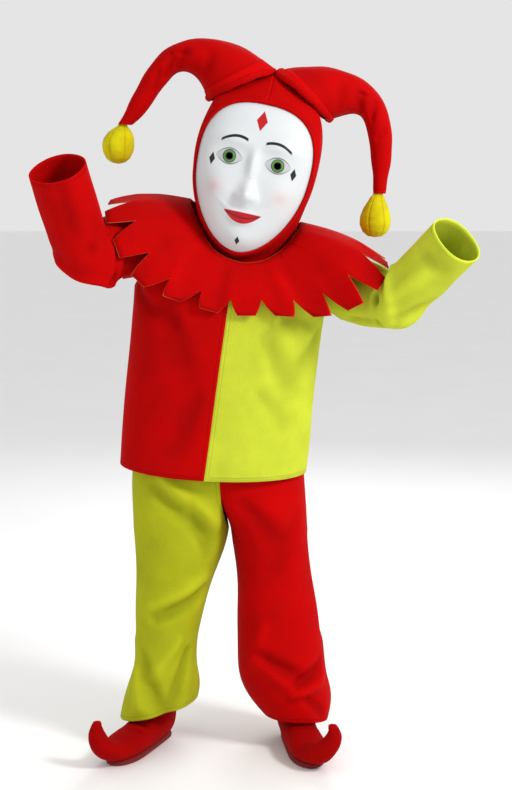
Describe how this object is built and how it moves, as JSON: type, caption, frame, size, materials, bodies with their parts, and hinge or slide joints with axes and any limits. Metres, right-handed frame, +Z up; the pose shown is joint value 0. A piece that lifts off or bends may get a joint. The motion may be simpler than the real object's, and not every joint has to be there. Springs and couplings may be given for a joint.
{
  "type": "jester costume",
  "caption": "Worn parti-coloured jester costume: tunic, tabbed collar, hood with horned cap, white face mask, trousers and curl-toed shoes, hollow for a wearer",
  "frame": {"origin": "middle of the neck opening, where a stand's neck post or a wearer's neck holds the costume", "axes": "+Z up, the wearer faces -Y, +X is on the viewer's right in the front view"},
  "size_m": [1.0173, 0.5233, 1.7382],
  "materials": {
    "red_cloth": "matte foam-backed fleece, fine short nap",
    "yellow_cloth": "matte foam-backed fleece, fine short nap",
    "ball_plush": "stuffed cloth with a short soft pile",
    "mask_shell": "formed shell, satin painted",
    "sole_felt": "dense felt sole"
  },
  "bodies": {
    "root": {"tunic_front_red": "red_cloth", "tunic_back_red": "red_cloth", "sleeve_red": "red_cloth", "collar": "red_cloth", "hood_left": "red_cloth", "hood_right": "red_cloth", "horn_left_front": "red_cloth", "horn_left_back": "red_cloth", "horn_right_front": "red_cloth", "horn_right_back": "red_cloth", "cap_band_left": "red_cloth", "cap_band_right": "red_cloth", "trousers_front_red": "red_cloth", "trousers_back_red": "red_cloth", "shoe_left": "red_cloth", "shoe_right": "red_cloth", "tunic_front_yellow": "yellow_cloth", "tunic_back_yellow": "yellow_cloth", "sleeve_yellow": "yellow_cloth", "trousers_front_yellow": "yellow_cloth", "trousers_back_yellow": "yellow_cloth", "ball_left": "ball_plush", "ball_right": "ball_plush", "mask": "mask_shell", "sole_left": "sole_felt", "sole_right": "sole_felt"}
  },
  "joints": []
}
